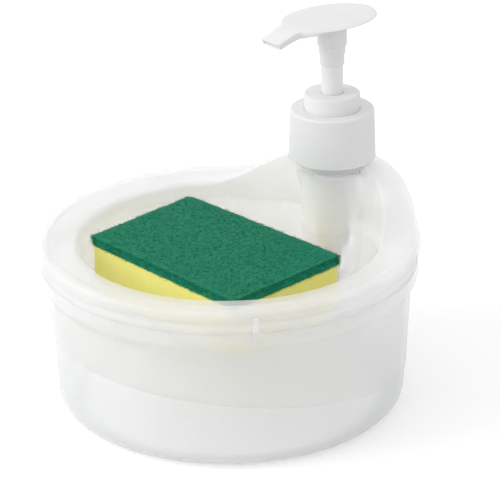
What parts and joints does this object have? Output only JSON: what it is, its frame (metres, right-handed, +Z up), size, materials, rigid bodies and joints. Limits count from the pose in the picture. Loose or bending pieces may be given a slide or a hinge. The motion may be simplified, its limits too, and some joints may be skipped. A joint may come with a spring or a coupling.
{
  "type": "soap pump caddy",
  "caption": "Round translucent soap tub with a lift-off sponge tray and a white press pump standing in its raised shoulder.",
  "frame": {"origin": "centre of the foot, on the surface that the caddy stands on", "axes": "+Z up; the pump stands on the +Y side and its nozzle points to -Y, over the dish"},
  "size_m": [0.1466, 0.1466, 0.1428],
  "materials": {
    "clear_tub": "milky translucent moulded polypropylene, smooth",
    "white_plastic": "opaque white moulded plastic, softly glossy",
    "pump_natural": "natural moulded plastic, slightly translucent",
    "foam_yellow": "open-cell sponge foam",
    "scour_green": "coarse non-woven scouring fibre",
    "seal_rubber": "soft grey seal",
    "spring_steel": "bright stainless steel"
  },
  "bodies": {
    "tub": {"reservoir_tub": "clear_tub"},
    "tray": {"sponge_tray": "clear_tub"},
    "sponge": {"sponge_foam": "foam_yellow", "scour_pad": "scour_green"},
    "pump": {"pump_housing": "pump_natural", "lock_collar": "white_plastic", "neck_gasket": "seal_rubber", "dip_tube": "pump_natural", "spring_seat": "white_plastic", "return_spring": "spring_steel", "stem_wiper": "seal_rubber"},
    "washer": {"cap_washer": "seal_rubber"},
    "cap": {"closure_cap": "white_plastic"},
    "plunger": {"piston_rod": "white_plastic", "piston_seal": "seal_rubber"},
    "head": {"actuator_head": "white_plastic", "stem_tube": "white_plastic"},
    "inlet_valve": {"inlet_ball": "spring_steel"},
    "outlet_valve": {"outlet_ball": "spring_steel"}
  },
  "joints": [
    {"name": "tray_lift", "type": "slide", "parent": "tub", "child": "tray", "axis": [0, 0, 1], "range_m": [0, 0.075]},
    {"name": "sponge_lift", "type": "slide", "parent": "tray", "child": "sponge", "axis": [0, 0, 1], "range_m": [0, 0.06]},
    {"name": "pump_lift", "type": "slide", "parent": "tray", "child": "pump", "axis": [0, 0, 1], "range_m": [0, 0.1]},
    {"name": "cap_rise", "type": "slide", "parent": "pump", "child": "washer", "axis": [0, 0, 1], "range_m": [0, 0.00481]},
    {"name": "cap_turn", "type": "hinge", "parent": "washer", "child": "cap", "pos_m": [0, 0.0522, 0.095], "axis": [0, 0, 1], "range_deg": [0, 540]},
    {"name": "head_press", "type": "slide", "parent": "pump", "child": "plunger", "axis": [0, 0, -1], "range_m": [0, 0.0112], "stiffness_N_per_m": 250, "springref_m": -0.008, "deforming": ["return_spring"]},
    {"name": "head_swivel", "type": "hinge", "parent": "plunger", "child": "head", "pos_m": [0, 0.0522, 0.12], "axis": [0, 0, 1], "continuous": true},
    {"name": "inlet_lift", "type": "slide", "parent": "pump", "child": "inlet_valve", "axis": [0, 0, 1], "range_m": [0, 0.0015]},
    {"name": "outlet_lift", "type": "slide", "parent": "head", "child": "outlet_valve", "axis": [0, 0, 1], "range_m": [0, 0.0012]}
  ],
  "couplings": [
    {"joint": "cap_rise", "follows": "cap_turn", "m_per_rad": 0.0005093}
  ]
}
